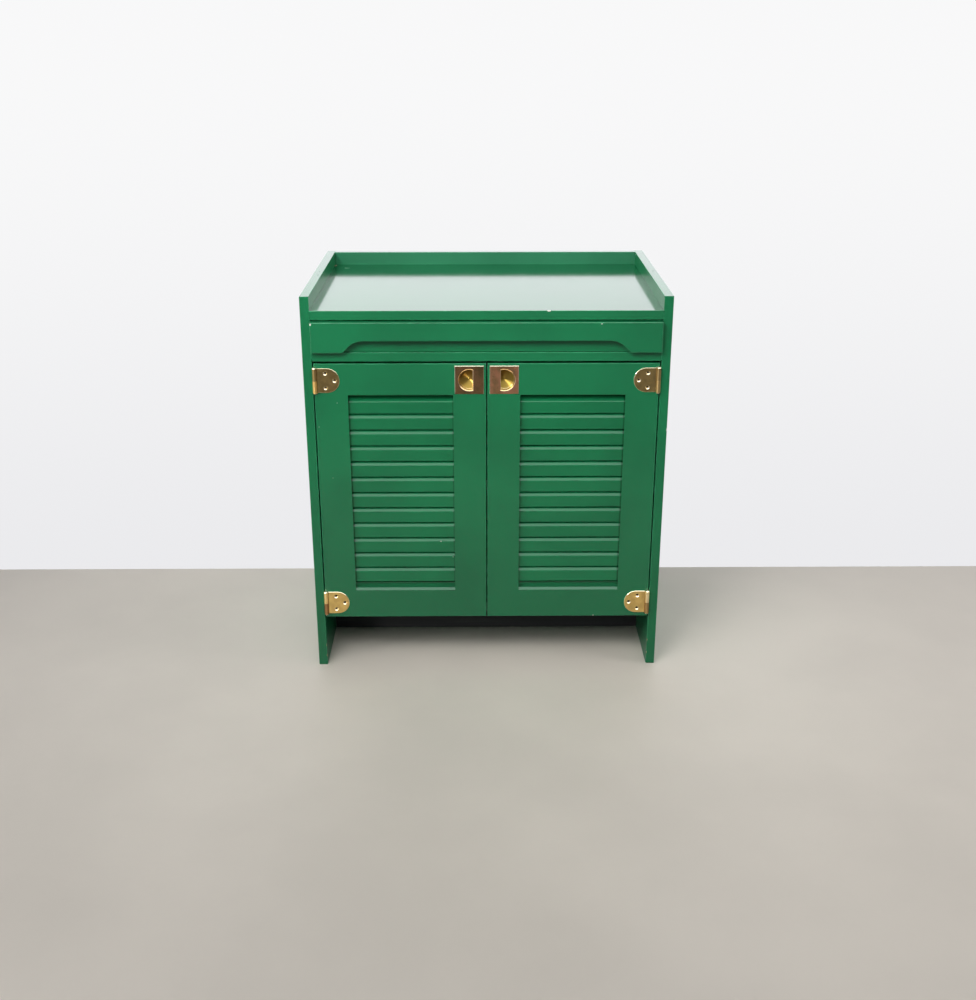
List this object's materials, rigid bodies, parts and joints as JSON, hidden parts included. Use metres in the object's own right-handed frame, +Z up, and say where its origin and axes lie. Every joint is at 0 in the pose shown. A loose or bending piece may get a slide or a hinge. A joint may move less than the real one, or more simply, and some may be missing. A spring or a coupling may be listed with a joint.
{
  "type": "louvred cabinet with drawer",
  "caption": "Floor-standing campaign-style cabinet with a gallery tray top, a shallow scoop-front drawer and louvred doors with brass D-leaf hinges and flush pulls.",
  "frame": {"origin": "bottom centre of the closed cabinet's bounding box, on the floor", "axes": "+X to the cabinet's right seen from the front, +Y towards its back, +Z up"},
  "size_m": [0.75, 0.529, 0.832],
  "materials": {
    "green_lacquer": "glossy green lacquer over board",
    "birch_ply": "bare birch plywood",
    "beech": "bare planed beech",
    "brass": "brushed aged brass",
    "brass_screws": "worn brass screw heads",
    "zinc_steel": "zinc-plated steel",
    "catch_body": "brown moulded catch body"
  },
  "bodies": {
    "carcass": {"side_panel_left": "green_lacquer", "side_panel_right": "green_lacquer", "top_panel": "green_lacquer", "gallery_rail": "green_lacquer", "divider_panel": "green_lacquer", "bottom_panel": "green_lacquer", "plinth_board": "green_lacquer", "cupboard_shelf": "green_lacquer", "back_panel": "birch_ply", "carcass_dowels": "beech", "drawer_runner_left": "beech", "drawer_runner_right": "beech", "drawer_stops": "beech", "shelf_pins": "zinc_steel", "back_panel_screws": "zinc_steel", "runner_screws": "zinc_steel", "catch_screws": "zinc_steel", "magnetic_catches": "catch_body", "frame_hinge_screws": "brass_screws", "upper_left_frame_hinge_leaf": "brass", "upper_left_hinge_pin": "brass", "upper_right_frame_hinge_leaf": "brass", "upper_right_hinge_pin": "brass", "lower_left_frame_hinge_leaf": "brass", "lower_left_hinge_pin": "brass", "lower_right_frame_hinge_leaf": "brass", "lower_right_hinge_pin": "brass"},
    "drawer": {"drawer_front": "green_lacquer", "drawer_box_front": "green_lacquer", "drawer_bottom": "birch_ply", "drawer_side_left": "beech", "drawer_side_right": "beech", "drawer_back": "beech", "drawer_front_screws": "zinc_steel"},
    "left_door": {"left_door_hinge_stile": "green_lacquer", "left_door_meeting_stile": "green_lacquer", "left_door_top_rail": "green_lacquer", "left_door_bottom_rail": "green_lacquer", "left_door_slats": "green_lacquer", "left_door_dowels": "beech", "left_door_upper_hinge_leaf": "brass", "left_door_lower_hinge_leaf": "brass", "left_door_pull_plate": "brass", "left_door_pull_cup": "brass", "left_door_screws": "brass_screws", "left_door_strike_plate": "zinc_steel"},
    "right_door": {"right_door_hinge_stile": "green_lacquer", "right_door_meeting_stile": "green_lacquer", "right_door_top_rail": "green_lacquer", "right_door_bottom_rail": "green_lacquer", "right_door_slats": "green_lacquer", "right_door_dowels": "beech", "right_door_upper_hinge_leaf": "brass", "right_door_lower_hinge_leaf": "brass", "right_door_pull_plate": "brass", "right_door_pull_cup": "brass", "right_door_screws": "brass_screws", "right_door_strike_plate": "zinc_steel"}
  },
  "joints": [
    {"name": "drawer_slide", "type": "slide", "parent": "carcass", "child": "drawer", "axis": [0, -1, 0], "range_m": [0, 0.33]},
    {"name": "left_door_hinge", "type": "hinge", "parent": "carcass", "child": "left_door", "pos_m": [-0.3515, -0.254, 0.407], "axis": [0, 0, -1], "range_deg": [0, 180]},
    {"name": "right_door_hinge", "type": "hinge", "parent": "carcass", "child": "right_door", "pos_m": [0.3515, -0.254, 0.407], "axis": [0, 0, 1], "range_deg": [0, 180]}
  ]
}
